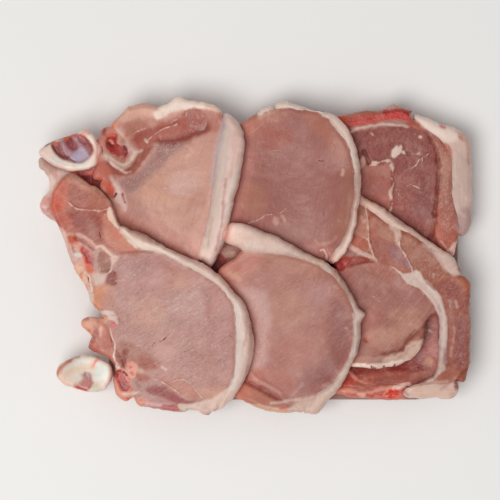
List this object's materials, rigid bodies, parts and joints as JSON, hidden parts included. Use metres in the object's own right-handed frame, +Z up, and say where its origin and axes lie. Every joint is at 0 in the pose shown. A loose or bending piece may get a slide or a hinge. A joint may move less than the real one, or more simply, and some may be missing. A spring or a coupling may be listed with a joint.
{
  "type": "meat tray pack",
  "caption": "Raw bone-in pork chops laid overlapping in two rows on a shallow pale foam tray, with separate fat caps and cut bones.",
  "frame": {"origin": "centre of the pack's outline on the plane that the tray stands on", "axes": "+X along the longer side, towards the rightmost chops; +Y across the two rows, away from the viewer; +Z up"},
  "size_m": [0.3042, 0.2237, 0.0476],
  "materials": {
    "lean_meat": "moist raw lean pork, pale brownish pink",
    "dark_lean_meat": "moist raw dark red pork",
    "fat": "smooth waxy raw pork fat, creamy pink",
    "bone": "sawn bone and cartilage, off-white with red marrow",
    "marrow_bone": "sawn bone showing wet red marrow",
    "foam_tray": "fine-grained pale foam"
  },
  "bodies": {
    "root": {"tray": "foam_tray", "under_chop_left": "fat", "under_chop_middle": "lean_meat", "lower_right_chop_lean": "dark_lean_meat", "lower_right_chop_bone": "marrow_bone", "upper_right_chop_lean": "dark_lean_meat", "upper_right_chop_bone": "marrow_bone", "upper_right_chop_fat": "fat", "flank_chop_lean": "lean_meat", "flank_chop_fat": "fat", "flank_chop_corner_fat": "fat", "upper_middle_chop_lean": "lean_meat", "upper_middle_chop_fat": "fat", "lower_middle_chop_lean": "lean_meat", "lower_middle_chop_fat": "fat", "upper_rib_bone": "bone", "lower_rib_bone": "bone", "upper_left_chop_lean": "lean_meat", "upper_left_chop_fat": "fat", "upper_left_chop_bone": "bone", "lower_left_chop_lean": "lean_meat", "lower_left_chop_fat": "fat", "lower_left_chop_bone": "bone"}
  },
  "joints": []
}
